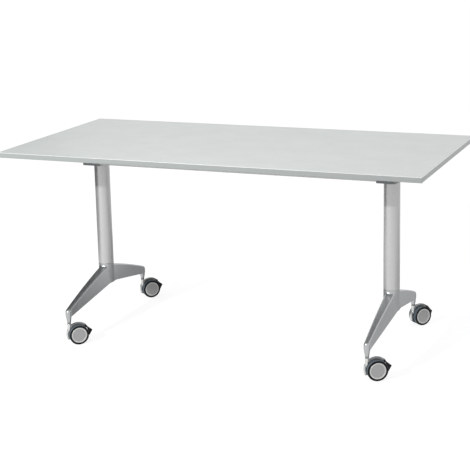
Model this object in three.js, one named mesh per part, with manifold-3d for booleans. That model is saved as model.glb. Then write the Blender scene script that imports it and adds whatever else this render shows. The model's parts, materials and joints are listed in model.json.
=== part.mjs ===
// Flip-top training table: two T-shaped legs on twin-wheel castors, tied by a tube that the top tilts on.
// Millimetres, +Z up. X runs along the table and -Y is its front.
// The origin is on the floor under the middle of the table.
import * as THREE from "three";
import { mergeVertices } from "three/addons/utils/BufferGeometryUtils.js";
import Module from "manifold-3d";

const wasm = await Module();
wasm.setup();

// Table and top
const tableLength = 1600;
const tableDepth = 800;
const tableHeight = 750;
const topThickness = 19;
const bandThickness = 2;

// Legs
const legOffset = 588; // column axis from the middle of the table
const legSetback = 10; // column axis behind the middle, so the top is heavier at its front
const columnRadius = 30;
const columnWall = 2.5;
const columnFoot = 240; // height where the column stands on the casting
const socketReach = 315; // castor socket from the column axis
const armTopAtHub = 226;
const armTopAtEnd = 139;
const armTopCrown = 4; // bow of the arm's upper edge at mid length
const armUnderAtHub = 160;
const armUnderAtEnd = 107;
const armTopHalf = [13, 7.5]; // half width of the arm's upper face, at the hub and at its end
const armUnderHalf = [29.4, 11];
const armStations = [0.2, 0.4, 0.63, 0.84, 1]; // where the arm's section is drawn, as shares of the reach
const hubUnder = 160;
const spigotLength = 50;
const socketMouth = 88; // lower end of the castor socket
const socketCrown = 138.5;
const socketRadius = 11.8;
const socketMouthRadius = 7.8;
const socketTaper = 26; // height over which the socket widens
const socketDome = 11; // height of its rounded top
const stemBoreRoom = 2; // bore above the castor stem
const boltRadius = 5;
const boltHeadRadius = 8;
const boltHead = 7;
const boltSeatGap = 1;
const boltSeatRoom = 1; // round the bolt head
const plugThickness = 12;

// Tilt axis and the pieces on it
const pivotHeight = 672;
const columnRise = 40; // column above the tilt axis
const headLid = 3;
const lidChamfer = 1; // on the column heads and the tube caps
const headDepth = 80;
const crossRadius = 19;
const crossWall = 2.5;
const runGap = 0.3; // between pieces that turn on or stand against each other
const cheekGap = 0.8; // between the column's side and a bracket cheek
const cheekThickness = 3;
const bushRadius = 22;
const bushFlange = 26;
const bushFlangeThickness = 2;
const capRadius = 23;
const capThickness = 4;
const capPlugLength = 14;

// Brackets, rail and stop pins under the top
const bracketFront = 88; // cheek ahead of the tilt axis
const bracketBack = 70;
const bracketUnder = 645;
const bracketBackUnder = 690;
const bracketPlateHalf = 62;
const bracketPlate = 3;
const bracketFrontRise = 5; // lower edge at the bracket's front, above that under the column
const bracketWeb = 3; // plate that closes the bracket's front
const railHeight = 30;
const railDepth = 20;
const railWall = 2;
const railUnder = 655;
const railInset = 2; // rail front behind the bracket front
const stopPinRadius = 5;

// Latch
const rodRadius = 6;
const rodAhead = 70; // rod ahead of the tilt axis
const rodAbove = 30; // rod above the tilt axis
const rodEndInCheek = 5;
const discRadius = 34;
const discThickness = 6;
const notchFloor = 26;
const notchHalf = 5;
const toothHalf = 4;
const toothTip = 28; // reach of an engaged tooth, from the tilt axis
const pawlThickness = 5;
const pawlHubRadius = 11;
const pawlArmDepth = 9;
const latchTravel = THREE.MathUtils.degToRad(8); // from the tooth clear of the disc to the tooth home
const pawlShoulder = 12; // straight part of the pawl's arm above its tooth
const pawlHeel = 24; // where the arm's lower edge turns off to the rod
const pawlClear = 1; // between the pawl's arm and the disc, tooth home
const leverRoot = 8; // strap's end from the rod's middle, inside the lever's hub
const leverReach = 118;
const leverHalf = 12;
const leverThickness = 5;
const gripHalf = 60;
const gripDepth = 26;
const gripHeight = 10;
const saddleOffset = 60;
const saddleHalf = 10;
const saddleDepthHalf = 14;
const saddleBelowRod = 12;

// Castors
const wheelRadius = 37.5;
const wheelInner = 7; // inner side of a wheel from the castor's middle plane
const wheelOuter = 24.2;
const treadRound = 3;
const rimSlope = 7; // dark sloping ring outside the cap
const capRing = 6; // raised ring round the wheel cap
const capSink = 0.8;
const castorTrail = 33;
const stemRadius = 5.5;
const stemFoot = 56;
const stemTop = 130;
const collarRadius = 7; // collar of the stem, between the socket and the neck
const neckRadius = 7.5;
const neckTop = 80;
const neckFoot = 46;
const neckChamfer = 2;
const hoodRadius = 45;
const hoodHalf = 6;
const wheelClear = 39; // hood cut back to this radius beside the wheels
const axleRadius = 4;
const axleHalf = 20;
// Degrees here are round the axle, from the trailing side up and over
const hoodSweep = [44, 204]; // from the pedal's lug to the lower front
const hoodWaist = 20; // hood round the axle, below
const hoodWaistSweep = [240, 310];
const hoodHeel = [30, 24]; // radius and degrees of the corner under the pedal's lug
const pedalGrip = 38.8; // inner face from the axle, with the pedal trodden down
const pedalGripSweep = [50, -9];
const pedalTravel = 3; // degrees that it is trodden down
const pedalBrow = [44.5, 51]; // radius and degrees of its upper end, its back, its toe and its lower end
const pedalBack = [45.2, 26];
const pedalToe = [55.5, 10];
const pedalFoot = [42.5, -10];
const pedalHalf = 13;
const pedalToeHalf = 4;
const pedalShoulder = 39; // where it begins to narrow to the toe, from the axle
const pedalSlot = [30, 60, 33, 62]; // room for the hood: radii and degrees
const pedalPivotRadius = 42;
const pedalPivotAngle = 46;
const pedalPinRadius = 1.6;
const pedalLug = 4;
// Degrees from +X towards +Y in which each castor trails
const castorHeadings = { front_left: 41, back_left: 46, front_right: 32, back_right: 49 };

// Sides of the polygons that stand for rounds
const roundSides = 28;
const smallSides = 16;
const wheelSides = 24;
const pinSides = 12;
const hoodArcSteps = 16;
const pedalArcSteps = 6;
const domeSteps = 3;

// Places worked out from those
const underside = tableHeight - topThickness;
const columnTop = pivotHeight + columnRise;
const cheekInner = columnRadius + cheekGap;
const cheekOuter = cheekInner + cheekThickness;
const bushOuter = cheekOuter + bushFlangeThickness + runGap;
const crossHalf = legOffset + bushOuter + runGap;
const discInner = legOffset - bushOuter - runGap; // outboard face of a lock disc
const rodAngle = Math.atan2(rodAbove, -rodAhead);
const rodReach = Math.hypot(rodAhead, rodAbove);
const insideColumn = columnRadius - columnWall - 2 * runGap; // radius of what fits in the tube
const sides = { left: -1, right: 1 };
const overrun = 1; // how far a cutting form runs past the face that it cuts
const overlap = 1; // how far joined forms run into each other
const acrossLeg = 2 * columnRadius; // half length of a form that cuts right through a leg

// Finishes
const finishes = {
  laminate: { color: 0xd3d6d5, roughness: 0.55, metalness: 0 },
  edge: { color: 0xb4b8b7, roughness: 0.5, metalness: 0 },
  silver: { color: 0xc2c2c1, roughness: 0.35, metalness: 0.6 },
  casting: { color: 0x9a9b9b, roughness: 0.4, metalness: 0.8 },
  zinc: { color: 0xa8aaac, roughness: 0.4, metalness: 0.9 },
  greySteel: { color: 0x8a8d8f, roughness: 0.5, metalness: 0.4 },
  black: { color: 0x17181a, roughness: 0.6, metalness: 0 },
  wheel: { color: 0x575f66, roughness: 0.6, metalness: 0 },
};

// Solids from geometry and back, for joins and cuts
function toSolid(geometry) {
  const flat = geometry.index ? geometry.toNonIndexed() : geometry;
  const bare = new THREE.BufferGeometry();
  bare.setAttribute("position", flat.getAttribute("position"));
  const merged = mergeVertices(bare, 1e-3);
  return new wasm.Manifold(
    new wasm.Mesh({
      numProp: 3,
      vertProperties: merged.getAttribute("position").array,
      triVerts: new Uint32Array(merged.index.array),
    }),
  );
}

function toGeometry(solid) {
  const mesh = solid.getMesh();
  const geometry = new THREE.BufferGeometry();
  geometry.setAttribute("position", new THREE.BufferAttribute(mesh.vertProperties, 3));
  geometry.setIndex(new THREE.BufferAttribute(mesh.triVerts, 1));
  const flat = geometry.toNonIndexed();
  flat.computeVertexNormals();
  return flat;
}

function join(first, ...others) {
  return toGeometry(others.reduce((whole, piece) => whole.add(toSolid(piece)), toSolid(first)));
}

function cut(first, ...tools) {
  return toGeometry(tools.reduce((whole, tool) => whole.subtract(toSolid(tool)), toSolid(first)));
}

// Basic forms. Each profile is a list of [radius, height] pairs.
function turned(profile, segments = smallSides) {
  const points = profile.map(([radius, height]) => new THREE.Vector2(radius, height));
  return new THREE.LatheGeometry(points, segments).rotateX(Math.PI / 2);
}

function rod(radius, from, to, segments = smallSides) {
  return turned([[0, from], [radius, from], [radius, to], [0, to]], segments);
}

function pipe(outer, inner, from, to, segments = roundSides) {
  return turned([[inner, from], [outer, from], [outer, to], [inner, to], [inner, from]], segments);
}

// Points of a quarter ellipse round a corner, from the lower or inner end to the other
function quarter([radius, height], across, up, from, steps) {
  return Array.from({ length: steps + 1 }, (unused, step) => {
    const angle = from + (step / steps) * (Math.PI / 2);
    return [radius + across * Math.cos(angle), height + up * Math.sin(angle)];
  });
}

function box(from, to) {
  const size = to.map((value, axis) => value - from[axis]);
  const middle = to.map((value, axis) => (value + from[axis]) / 2);
  return new THREE.BoxGeometry(...size).translate(...middle);
}

// Turns a form that stands on Z so that it lies along X, or along Y
const alongX = (geometry) => geometry.rotateY(Math.PI / 2);
const alongY = (geometry) => geometry.rotateX(-Math.PI / 2);

// Plates: an outline in the YZ plane made thick along X, or one in the XZ plane made thick along Y
function plateX(outline, from, to) {
  const plate = new THREE.ExtrudeGeometry(outline, {
    depth: to - from,
    bevelEnabled: false,
  });
  const basis = new THREE.Matrix4().makeBasis(
    new THREE.Vector3(0, 1, 0),
    new THREE.Vector3(0, 0, 1),
    new THREE.Vector3(1, 0, 0),
  );
  return plate.applyMatrix4(basis).translate(from, 0, 0);
}

function plateY(outline, half, curveSegments = pinSides) {
  const plate = new THREE.ExtrudeGeometry(outline, {
    depth: 2 * half,
    bevelEnabled: false,
    curveSegments,
  });
  return plate.rotateX(Math.PI / 2).translate(0, half, 0);
}

function polygon(points) {
  return new THREE.Shape(points.map(([across, up]) => new THREE.Vector2(across, up)));
}

// A loft through four-cornered sections, each a list of [x, y, z] corners, closed at both ends
function loft(sections) {
  const corners = sections[0].length;
  const position = sections.flat(2);
  const index = [];
  for (let ring = 0; ring + 1 < sections.length; ring += 1) {
    for (let corner = 0; corner < corners; corner += 1) {
      const a = ring * corners + corner;
      const b = ring * corners + ((corner + 1) % corners);
      index.push(a, b, b + corners, a, b + corners, a + corners);
    }
  }
  const last = (sections.length - 1) * corners;
  for (let corner = 1; corner + 1 < corners; corner += 1) {
    index.push(0, corner + 1, corner);
    index.push(last, last + corner, last + corner + 1);
  }
  const geometry = new THREE.BufferGeometry();
  geometry.setAttribute("position", new THREE.Float32BufferAttribute(position, 3));
  geometry.setIndex(index);
  return geometry;
}

const table = new THREE.Group();

function addPiece(group, name, geometry, finish) {
  geometry.computeVertexNormals();
  const piece = new THREE.Mesh(geometry, new THREE.MeshStandardMaterial(finishes[finish]));
  piece.name = name;
  group.add(piece);
}

// Table top: the board and a band along each of its edges
const boardX = tableLength / 2 - bandThickness;
const boardY = tableDepth / 2 - bandThickness;
const endX = tableLength / 2;
const endY = tableDepth / 2;
addPiece(table, "top_panel", box([-boardX, -boardY, underside], [boardX, boardY, tableHeight]), "laminate");
const bands = {
  front: box([-endX, -endY, underside], [endX, -boardY, tableHeight]),
  back: box([-endX, boardY, underside], [endX, endY, tableHeight]),
  left: box([-endX, -boardY, underside], [-boardX, boardY, tableHeight]),
  right: box([boardX, -boardY, underside], [endX, boardY, tableHeight]),
};
for (const [edge, geometry] of Object.entries(bands)) {
  addPiece(table, `${edge}_edge_band`, geometry, "edge");
}

// Foot: one casting, with a hub under the column, an arm to the front and one to the back,
// and a castor socket at the end of each arm
function armSection(along) {
  const share = Math.max(0, (Math.abs(along) - columnRadius) / (socketReach - columnRadius));
  const top = THREE.MathUtils.lerp(armTopAtHub, armTopAtEnd, share) + 4 * armTopCrown * share * (1 - share);
  const under = THREE.MathUtils.lerp(armUnderAtHub, armUnderAtEnd, share);
  const topHalf = THREE.MathUtils.lerp(...armTopHalf, share);
  const underHalf = THREE.MathUtils.lerp(...armUnderHalf, share);
  return [
    [-underHalf, along, under],
    [-topHalf, along, top],
    [topHalf, along, top],
    [underHalf, along, under],
  ];
}

function footCasting() {
  const stations = [...armStations.map((share) => -share).reverse(), 0, ...armStations];
  const arms = loft(stations.map((share) => armSection(share * socketReach)));
  const hub = turned(
    [
      [0, hubUnder + overlap],
      [columnRadius, hubUnder + overlap],
      [columnRadius, columnFoot],
      [insideColumn, columnFoot],
      [insideColumn, columnFoot + spigotLength],
      [0, columnFoot + spigotLength],
    ],
    roundSides,
  );
  const socket = [
    [0, socketMouth],
    [socketMouthRadius, socketMouth],
    [socketRadius, socketMouth + socketTaper],
    ...quarter([0, socketCrown - socketDome], socketRadius, socketDome, 0, domeSteps).slice(0, -1),
    [0, socketCrown],
  ];
  const ends = [-socketReach, socketReach];
  const sockets = ends.map((along) => turned(socket).translate(0, along, 0));
  const stemBores = ends.map((along) =>
    rod(stemRadius + runGap, socketMouth - overrun, stemTop + stemBoreRoom).translate(0, along, 0),
  );
  const spigotTop = columnFoot + spigotLength;
  const boltHole = rod(boltRadius + runGap, hubUnder - overrun, spigotTop + overrun);
  const seatRadius = boltHeadRadius + boltSeatRoom;
  const boltSeat = rod(seatRadius, hubUnder - overrun, hubUnder + boltHead + boltSeatGap);
  return cut(join(arms, hub, ...sockets), ...stemBores, boltHole, boltSeat);
}

// Leg: foot, foot bolt, column, threaded plug in its lower end and head in its upper end
function columnTube() {
  const tube = pipe(columnRadius, columnRadius - columnWall, columnFoot + runGap, columnTop);
  const eye = alongX(rod(crossRadius + runGap, -acrossLeg, acrossLeg, roundSides));
  return cut(tube, eye.translate(0, 0, pivotHeight));
}

function columnHead() {
  const lid = columnTop + runGap;
  const plug = turned(
    [
      [0, columnTop - headDepth],
      [insideColumn, columnTop - headDepth],
      [insideColumn, lid],
      [columnRadius, lid],
      [columnRadius, lid + headLid - lidChamfer],
      [columnRadius - lidChamfer, lid + headLid],
      [0, lid + headLid],
    ],
    roundSides,
  );
  const eye = alongX(rod(crossRadius + runGap, -acrossLeg, acrossLeg, roundSides));
  return cut(plug, eye.translate(0, 0, pivotHeight));
}

function footBolt() {
  const seat = hubUnder + boltHead + boltSeatGap - runGap;
  const head = rod(boltHeadRadius, seat - boltHead, seat, 6);
  const shank = rod(boltRadius, seat - overlap, columnFoot + spigotLength + plugThickness);
  return join(head, shank);
}

function columnPlug() {
  const from = columnFoot + spigotLength + runGap;
  return pipe(insideColumn, boltRadius + runGap, from, from + plugThickness);
}

for (const [side, sign] of Object.entries(sides)) {
  const leg = new THREE.Group();
  leg.position.set(sign * legOffset, legSetback, 0);
  addPiece(leg, `${side}_foot`, footCasting(), "casting");
  addPiece(leg, `${side}_foot_bolt`, footBolt(), "zinc");
  addPiece(leg, `${side}_column`, columnTube(), "silver");
  addPiece(leg, `${side}_column_plug`, columnPlug(), "zinc");
  addPiece(leg, `${side}_column_head`, columnHead(), "casting");
  table.add(leg);
}

// Everything on the tilt axis stands in one group whose origin is the middle of that axis
const axis = new THREE.Group();
axis.position.set(0, legSetback, pivotHeight);
table.add(axis);

const crossTube = alongX(pipe(crossRadius, crossRadius - crossWall, -crossHalf, crossHalf));
addPiece(axis, "cross_tube", crossTube, "silver");

// Lock disc: notched where the pawl drops in with the top level and with it upright
const toothAngle = rodAngle - Math.acos((toothTip + notchFloor) / 2 / rodReach);
const notchAngles = [toothAngle, toothAngle - Math.PI / 2];

function lockDisc() {
  const disc = alongX(pipe(discRadius, crossRadius + runGap, 0, discThickness));
  const notches = notchAngles.map((angle) => {
    const inner = [-overrun, notchFloor, -notchHalf];
    const outer = [discThickness + overrun, discRadius + overrun, notchHalf];
    return box(inner, outer).rotateX(angle);
  });
  return cut(disc, ...notches);
}

function crossCap() {
  const plug = crossRadius - crossWall - runGap;
  const lid = crossHalf + runGap;
  return alongX(
    turned(
      [
        [0, lid - capPlugLength],
        [plug, lid - capPlugLength],
        [plug, lid],
        [capRadius, lid],
        [capRadius, lid + capThickness - lidChamfer],
        [capRadius - lidChamfer, lid + capThickness],
        [0, lid + capThickness],
      ],
      roundSides,
    ),
  );
}

// Bracket: a screwed plate with two cheeks that straddle the column, and a web across their front
function bracketBody(sign) {
  const top = underside - pivotHeight;
  const under = bracketUnder - pivotHeight;
  const cheek = polygon([
    [-bracketFront, top - overlap],
    [-bracketFront, under + bracketFrontRise],
    [-columnRadius, under],
    [columnRadius, under],
    [bracketBack, bracketBackUnder - pivotHeight],
    [bracketBack, top - overlap],
  ]);
  const plate = box(
    [-bracketPlateHalf, -bracketFront, top - bracketPlate],
    [bracketPlateHalf, bracketBack, top],
  );
  const inner = plateX(cheek, -cheekOuter, -cheekInner);
  const outer = plateX(cheek, cheekInner, cheekOuter);
  const web = box(
    [-cheekInner - overlap, -bracketFront, under + bracketFrontRise],
    [cheekInner + overlap, -bracketFront + bracketWeb, top - overlap],
  );
  const bushHole = alongX(rod(bushRadius + runGap, -acrossLeg, acrossLeg, roundSides));
  const pinHole = alongX(rod(stopPinRadius + runGap, -acrossLeg, acrossLeg));
  pinHole.translate(0, stopPinAway, stopPinAway);
  const rodHole = alongX(rod(rodRadius + runGap, columnRadius - rodEndInCheek, acrossLeg));
  rodHole.rotateZ(sign > 0 ? Math.PI : 0).translate(0, -rodAhead, rodAbove);
  return cut(join(plate, inner, outer, web), bushHole, pinHole, rodHole);
}

// The stop pin lies behind the column: it meets it with the top level, and again a quarter turn on
const stopPinAway = columnRadius + stopPinRadius + runGap;

function stopPin() {
  const pin = alongX(rod(stopPinRadius, -cheekOuter, cheekOuter));
  return pin.translate(0, stopPinAway, stopPinAway);
}

function pivotBush(sign) {
  const bore = crossRadius + runGap;
  const bush = turned(
    [
      [bore, cheekInner],
      [bushRadius, cheekInner],
      [bushRadius, cheekOuter + runGap],
      [bushFlange, cheekOuter + runGap],
      [bushFlange, bushOuter],
      [bore, bushOuter],
      [bore, cheekInner],
    ],
    roundSides,
  );
  return alongX(bush).rotateZ(sign > 0 ? 0 : Math.PI);
}

// Pawl, drawn with its tooth down in the notch and then lifted by the latch's travel about the rod
function pawl() {
  const toRod = rodReach * Math.sin(rodAngle - toothAngle);
  const radial = rodReach * Math.cos(rodAngle - toothAngle);
  const armLow = discRadius + pawlClear;
  const arm = plateX(
    polygon([
      [armLow, -toothHalf],
      [armLow + pawlArmDepth, -toothHalf],
      [armLow + pawlArmDepth, pawlShoulder],
      [radial + pawlHubRadius - overlap, toRod],
      [radial - overlap, toRod],
      [armLow, pawlHeel],
    ]),
    0,
    pawlThickness,
  );
  const tooth = box([0, toothTip, -toothHalf], [pawlThickness, armLow + overlap, toothHalf]);
  const hub = alongX(rod(pawlHubRadius, 0, pawlThickness)).translate(0, radial, toRod);
  const bore = alongX(rod(rodRadius + runGap, -overrun, pawlThickness + overrun));
  const whole = join(arm, tooth, hub);
  const engaged = cut(whole, bore.translate(0, radial, toRod)).rotateX(toothAngle);
  return aboutRod(engaged, latchTravel);
}

function aboutRod(geometry, angle) {
  geometry.translate(0, rodAhead, -rodAbove).rotateX(angle);
  return geometry.translate(0, -rodAhead, rodAbove);
}

for (const [side, sign] of Object.entries(sides)) {
  const end = new THREE.Group();
  end.position.x = sign * legOffset;
  const outwards = sign > 0 ? 0 : Math.PI;
  addPiece(end, `${side}_bracket`, bracketBody(sign), "greySteel");
  addPiece(end, `${side}_stop_pin`, stopPin(), "zinc");
  addPiece(end, `${side}_inner_bush`, pivotBush(-sign), "black");
  addPiece(end, `${side}_outer_bush`, pivotBush(sign), "black");
  axis.add(end);
  addPiece(axis, `${side}_cross_cap`, crossCap().rotateZ(outwards), "black");
  const discFrom = sign > 0 ? discInner - discThickness : -discInner;
  const pawlFrom = discFrom + (discThickness - pawlThickness) / 2;
  addPiece(axis, `${side}_lock_disc`, lockDisc().translate(discFrom, 0, 0), "zinc");
  addPiece(axis, `${side}_pawl`, pawl().translate(pawlFrom, 0, 0), "greySteel");
}

// Front rail: a rectangular tube between the inner cheeks
function frontRail() {
  const end = legOffset - cheekOuter - runGap;
  const front = -bracketFront + railInset;
  const under = railUnder - pivotHeight;
  const outside = box([-end, front, under], [end, front + railDepth, under + railHeight]);
  const inside = box(
    [-end - overrun, front + railWall, under + railWall],
    [end + overrun, front + railDepth - railWall, under + railHeight - railWall],
  );
  return cut(outside, inside);
}
addPiece(axis, "front_rail", frontRail(), "silver");

// Latch: the rod reaches through both inner cheeks, and the lever points to the front
function releaseRod() {
  const end = legOffset - cheekInner + rodEndInCheek;
  return alongX(rod(rodRadius, -end, end)).translate(0, -rodAhead, rodAbove);
}
addPiece(axis, "release_rod", releaseRod(), "zinc");

function releaseLever() {
  const hub = alongX(pipe(pawlHubRadius, rodRadius + runGap, -leverHalf, leverHalf, smallSides));
  const strap = box(
    [-leverHalf, -leverReach, -leverThickness / 2],
    [leverHalf, -leverRoot, leverThickness / 2],
  );
  return join(hub, strap).translate(0, -rodAhead, rodAbove);
}
addPiece(axis, "release_lever", releaseLever(), "greySteel");

function leverGrip() {
  const back = -leverReach + gripDepth / 2;
  const bar = box([-gripHalf, back - gripDepth, -gripHeight / 2], [gripHalf, back, gripHeight / 2]);
  const slot = box(
    [-leverHalf - runGap, -leverReach - runGap, -leverThickness / 2 - runGap],
    [leverHalf + runGap, back + overrun, leverThickness / 2 + runGap],
  );
  return cut(bar, slot).translate(0, -rodAhead, rodAbove);
}
addPiece(axis, "lever_grip", leverGrip(), "black");

function rodSaddle() {
  const block = box(
    [saddleOffset - saddleHalf, -rodAhead - saddleDepthHalf, rodAbove - saddleBelowRod],
    [saddleOffset + saddleHalf, -rodAhead + saddleDepthHalf, underside - pivotHeight],
  );
  const bore = alongX(rod(rodRadius + runGap, 0, 2 * saddleOffset)).translate(0, -rodAhead, rodAbove);
  return cut(block, bore);
}
addPiece(axis, "rod_saddle", rodSaddle(), "black");

// Where the castor stems stand
const castorPlaces = {
  front_left: [-legOffset, legSetback - socketReach],
  back_left: [-legOffset, legSetback + socketReach],
  front_right: [legOffset, legSetback - socketReach],
  back_right: [legOffset, legSetback + socketReach],
};

// Castor: in its own group the stem is on the Z axis and the axle trails behind it along +X
const toRadians = THREE.MathUtils.degToRad;

function onWheel(radius, degrees) {
  const angle = toRadians(degrees);
  return [castorTrail + radius * Math.cos(angle), wheelRadius + radius * Math.sin(angle)];
}

function atAxle(geometry) {
  return geometry.translate(castorTrail, 0, wheelRadius);
}

function atPedalPivot(geometry) {
  const [x, z] = onWheel(pedalPivotRadius, pedalPivotAngle);
  return geometry.translate(x, 0, z);
}

function castorHood() {
  const outline = new THREE.Shape();
  outline.absarc(castorTrail, wheelRadius, hoodRadius, ...hoodSweep.map(toRadians), false);
  for (const degrees of hoodWaistSweep) {
    outline.lineTo(...onWheel(hoodWaist, degrees));
  }
  outline.lineTo(...onWheel(...hoodHeel));
  const plate = plateY(outline, hoodHalf, hoodArcSteps);
  const lug = atPedalPivot(alongY(rod(pedalLug, -hoodHalf, hoodHalf, pinSides)));
  const through = hoodHalf + overrun;
  const pinHole = alongY(rod(pedalPinRadius + runGap, -through, through, pinSides));
  const neck = turned([
    [0, neckFoot],
    [neckRadius, neckFoot],
    [neckRadius, neckTop - neckChamfer],
    [neckRadius - neckChamfer, neckTop],
    [0, neckTop],
  ]);
  const wheelSpaces = [0, Math.PI].map((turn) =>
    atAxle(alongY(rod(wheelClear, hoodHalf, wheelOuter, wheelSides)).rotateX(turn)),
  );
  const stemBore = rod(stemRadius + runGap, stemFoot - stemBoreRoom, neckTop + overrun);
  const axleBore = atAxle(alongY(rod(axleRadius + runGap, -through, through)));
  return cut(
    join(plate, lug, neck),
    ...wheelSpaces,
    stemBore,
    axleBore,
    atPedalPivot(pinHole),
  );
}

function castorWheel(side) {
  // The polygon is drawn round the wheel's circle, so a facet and not a corner meets the floor
  const tread = wheelRadius / Math.cos(Math.PI / wheelSides);
  const cap = wheelRadius - treadRound / 2 - rimSlope;
  const profile = [
    [0, axleHalf + runGap],
    [axleRadius + runGap, axleHalf + runGap],
    [axleRadius + runGap, wheelInner],
    [tread - treadRound, wheelInner],
    [tread, wheelInner + treadRound],
    [tread, wheelOuter - treadRound],
    [wheelRadius - treadRound / 2, wheelOuter - capSink],
    [cap, wheelOuter],
    [cap - capRing, wheelOuter - capSink],
    [0, wheelOuter - capSink],
  ];
  const points = profile.map(([radius, height]) => new THREE.Vector2(radius, height));
  const wheel = new THREE.LatheGeometry(points, wheelSides, Math.PI / wheelSides);
  return atAxle(wheel.rotateX(side > 0 ? 0 : Math.PI));
}

// Pedal: its inner face lies round the wheels when it is trodden down, and is drawn lifted from there
function lifted([x, z]) {
  const pivot = new THREE.Vector2(...onWheel(pedalPivotRadius, pedalPivotAngle));
  return new THREE.Vector2(x, z).rotateAround(pivot, toRadians(pedalTravel)).toArray();
}

function brakePedal() {
  const inner = Array.from({ length: pedalArcSteps + 1 }, (unused, step) => {
    const degrees = THREE.MathUtils.lerp(...pedalGripSweep, step / pedalArcSteps);
    return lifted(onWheel(pedalGrip, degrees));
  });
  const outer = [pedalFoot, pedalToe, pedalBack, pedalBrow].map((corner) => onWheel(...corner));
  const wedge = plateY(polygon([...inner, ...outer]), pedalHalf);
  const [slotInner, slotOuter, slotFoot, slotTop] = pedalSlot;
  const slot = polygon([
    onWheel(slotInner, slotFoot),
    onWheel(slotOuter, slotFoot),
    onWheel(slotOuter, slotTop),
    onWheel(slotInner, slotTop),
  ]);
  const toeX = castorTrail + pedalToe[0];
  const flanks = [-1, 1].map((side) => {
    const flank = polygon([
      [castorTrail + pedalShoulder, side * pedalHalf],
      [toeX, side * pedalToeHalf],
      [toeX + overrun, side * pedalToeHalf],
      [toeX + overrun, side * (pedalHalf + overrun)],
      [castorTrail + pedalShoulder, side * (pedalHalf + overrun)],
    ]);
    return new THREE.ExtrudeGeometry(flank, { depth: neckTop, bevelEnabled: false });
  });
  const pin = atPedalPivot(alongY(rod(pedalPinRadius, overlap - pedalHalf, pedalHalf - overlap, pinSides)));
  return join(cut(wedge, plateY(slot, hoodHalf + runGap), ...flanks), pin);
}

function castorStem() {
  return turned([
    [0, stemFoot],
    [stemRadius, stemFoot],
    [stemRadius, neckTop + runGap],
    [collarRadius, neckTop + runGap],
    [collarRadius, socketMouth - runGap],
    [stemRadius, socketMouth - runGap],
    [stemRadius, stemTop],
    [0, stemTop],
  ]);
}

for (const [place, [x, y]] of Object.entries(castorPlaces)) {
  addPiece(table, `${place}_castor_stem`, castorStem().translate(x, y, 0), "zinc");
  const castor = new THREE.Group();
  castor.position.set(x, y, 0);
  castor.rotation.z = toRadians(castorHeadings[place]);
  addPiece(castor, `${place}_castor_hood`, castorHood(), "silver");
  const axle = atAxle(alongY(rod(axleRadius, -axleHalf, axleHalf)));
  addPiece(castor, `${place}_castor_axle`, axle, "zinc");
  addPiece(castor, `${place}_wheel_1`, castorWheel(1), "wheel");
  addPiece(castor, `${place}_wheel_2`, castorWheel(-1), "wheel");
  addPiece(castor, `${place}_brake_pedal`, brakePedal(), "black");
  table.add(castor);
}

export default table;
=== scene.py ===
import json
import math

import bmesh
import bpy
from mathutils import Matrix, Vector


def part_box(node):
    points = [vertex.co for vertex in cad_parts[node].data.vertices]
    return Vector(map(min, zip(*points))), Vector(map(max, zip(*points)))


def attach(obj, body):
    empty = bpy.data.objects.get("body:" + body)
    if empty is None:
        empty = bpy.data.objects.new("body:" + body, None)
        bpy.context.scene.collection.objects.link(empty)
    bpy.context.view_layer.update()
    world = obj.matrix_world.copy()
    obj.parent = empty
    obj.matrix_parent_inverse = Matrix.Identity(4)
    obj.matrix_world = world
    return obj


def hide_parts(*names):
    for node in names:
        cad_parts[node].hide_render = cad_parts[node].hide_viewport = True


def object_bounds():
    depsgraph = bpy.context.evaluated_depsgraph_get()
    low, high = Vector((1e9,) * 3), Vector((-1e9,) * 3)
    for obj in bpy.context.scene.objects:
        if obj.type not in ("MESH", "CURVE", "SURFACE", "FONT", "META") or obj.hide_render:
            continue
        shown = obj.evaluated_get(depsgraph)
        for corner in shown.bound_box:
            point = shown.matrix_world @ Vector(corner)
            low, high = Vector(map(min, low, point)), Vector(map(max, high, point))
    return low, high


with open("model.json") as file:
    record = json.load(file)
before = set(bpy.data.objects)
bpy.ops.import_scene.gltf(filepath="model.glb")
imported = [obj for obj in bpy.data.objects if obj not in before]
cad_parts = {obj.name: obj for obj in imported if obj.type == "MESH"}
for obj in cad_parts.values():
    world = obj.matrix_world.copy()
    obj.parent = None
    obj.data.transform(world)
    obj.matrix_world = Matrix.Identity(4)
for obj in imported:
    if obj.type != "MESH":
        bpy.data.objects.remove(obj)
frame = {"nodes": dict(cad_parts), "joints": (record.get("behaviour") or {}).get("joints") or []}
cadLow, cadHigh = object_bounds()
joints = {joint["name"]: joint for joint in frame["joints"]}
mm = 0.001
weldGap = 0.01 * mm  # corners nearer than this are one corner
hardTurn = 30  # degrees: an edge that turns more gets a round
sides = ("left", "right")
places = ("front_left", "back_left", "front_right", "back_right")
print("frame loaded:", len(frame["nodes"]), "nodes")


# Adds a node with its settings, fills or links its sockets, and gives back one output
def addNode(tree, kind, sockets=None, out=0, **settings):
    made = tree.nodes.new(kind)
    for name, value in settings.items():
        setattr(made, name, value)
    for name, value in (sockets or {}).items():
        if isinstance(value, bpy.types.NodeSocket):
            tree.links.new(value, made.inputs[name])
        else:
            made.inputs[name].default_value = value
    return made.outputs[out] if made.outputs else None


# sRGB hex to the linear colour that a shader takes
def linear(hexColour):
    shares = [int(hexColour[i:i + 2], 16) / 255 for i in (1, 3, 5)]
    return [s / 12.92 if s <= 0.04045 else ((s + 0.055) / 1.055) ** 2.4 for s in shares] + [1.0]


# A material whose node tree is still empty. Each pattern below starts from its spot on the piece, in metres
def newSurface(name):
    made = bpy.data.materials.new(name)
    made.use_nodes = True
    made.node_tree.nodes.clear()
    return made, made.node_tree


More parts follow.
